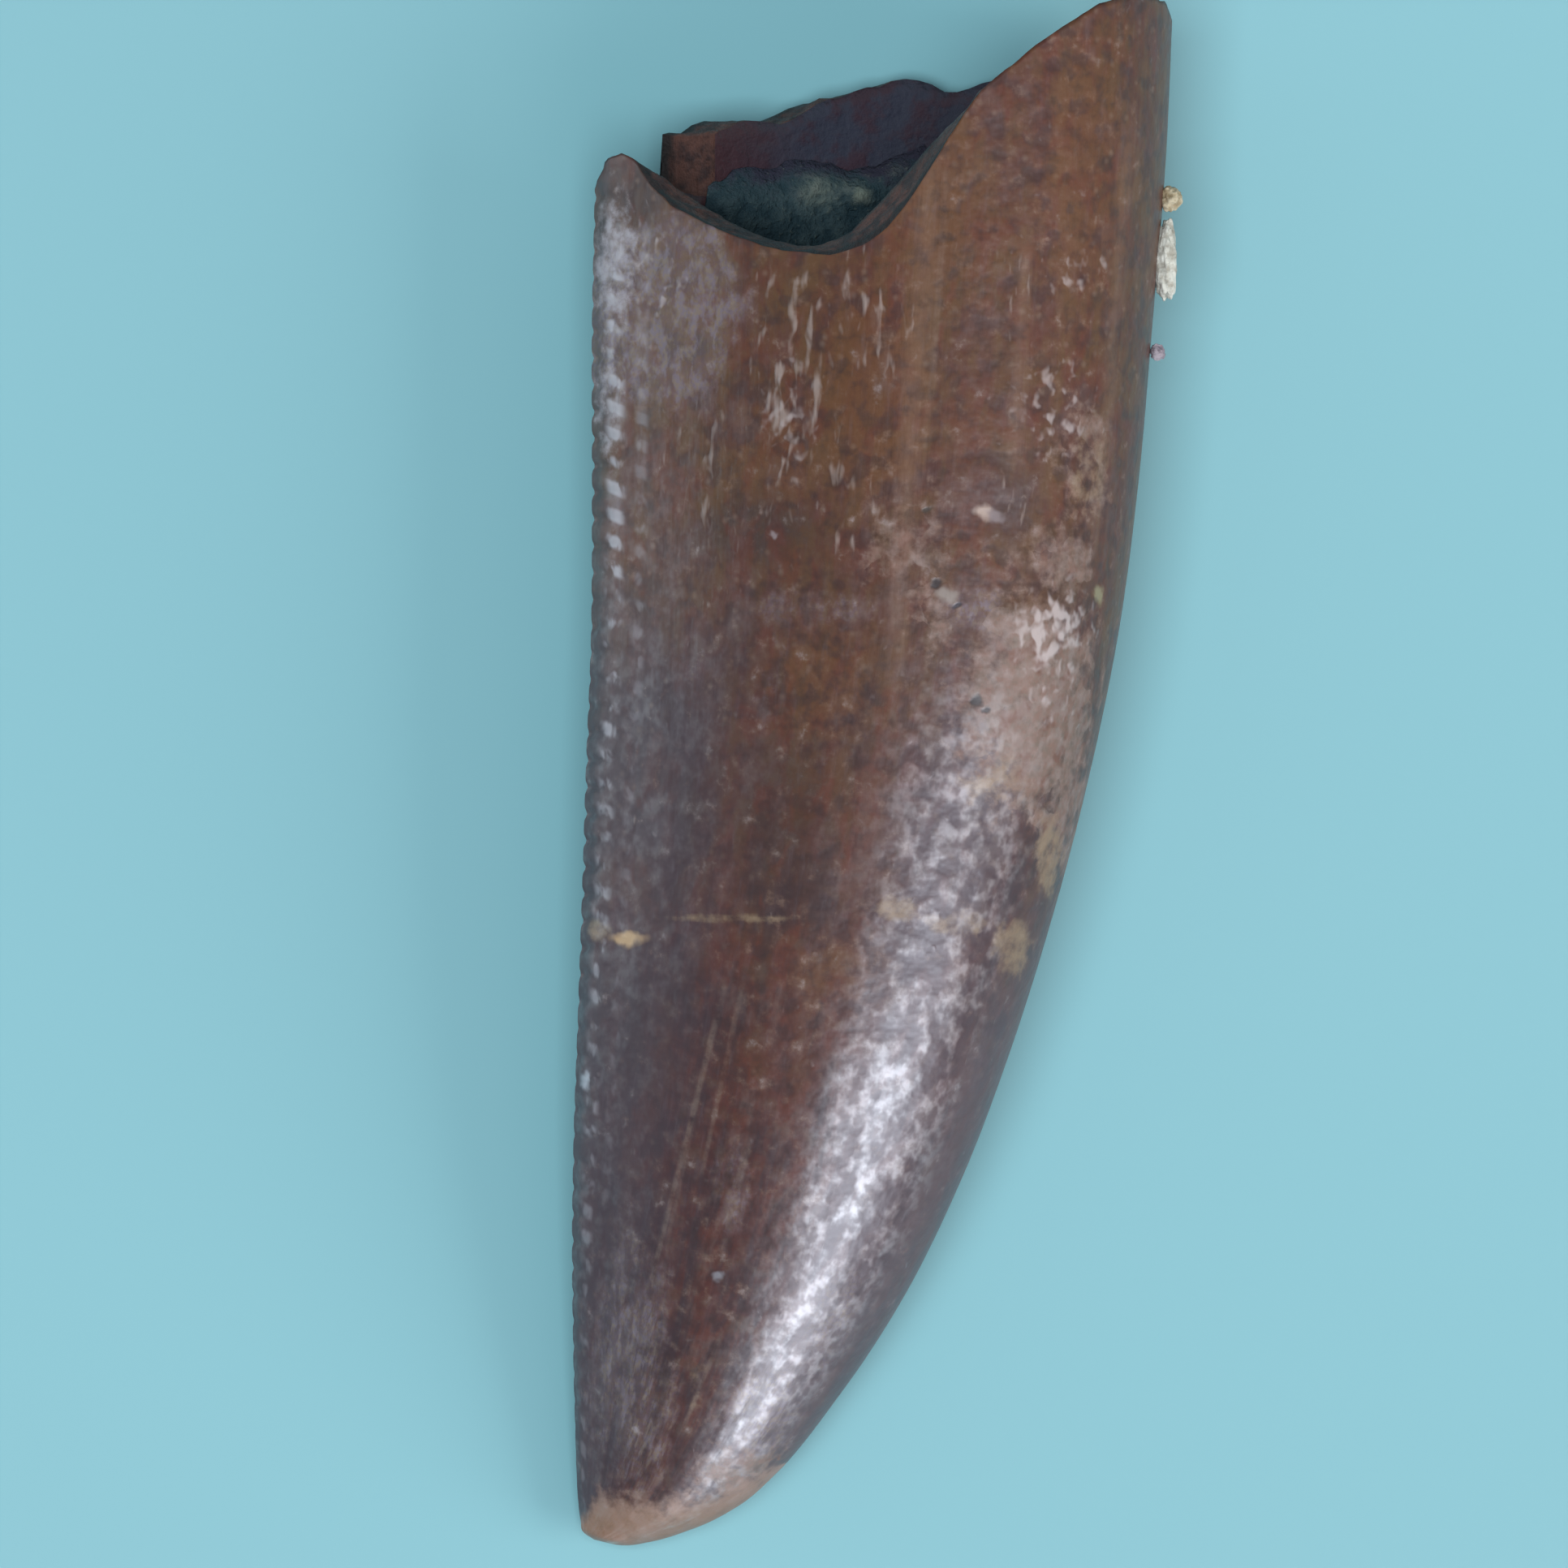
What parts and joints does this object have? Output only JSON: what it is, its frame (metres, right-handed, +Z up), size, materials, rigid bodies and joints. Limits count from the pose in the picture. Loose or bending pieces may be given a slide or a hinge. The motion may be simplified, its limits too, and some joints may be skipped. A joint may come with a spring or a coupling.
{
  "type": "fossil dinosaur tooth",
  "caption": "Hollow fossil tooth crown of a meat-eating dinosaur, with a serrated back edge, a curved front edge, a worn tip and a broken rim, lying on its flank.",
  "frame": {"origin": "centre of the bounding box in plan, on the surface that the tooth lies on", "axes": "+X from the serrated back edge to the curved front edge, +Y from the tip to the broken root end, +Z up from the resting surface, out of the flank that shows"},
  "size_m": [0.0135, 0.034, 0.0081],
  "materials": {
    "enamel": "glossy fossil enamel, brown to purple-brown, finely streaked along the tooth and worn pinkish tan in patches",
    "sediment": "matt dark grey-green sediment",
    "pale_grit": "matt pale cream grit"
  },
  "bodies": {
    "root": {"tooth": "enamel", "cavity_sediment": "sediment", "grit_upper": "pale_grit", "grit_middle": "pale_grit", "grit_lower": "pale_grit"}
  },
  "joints": []
}
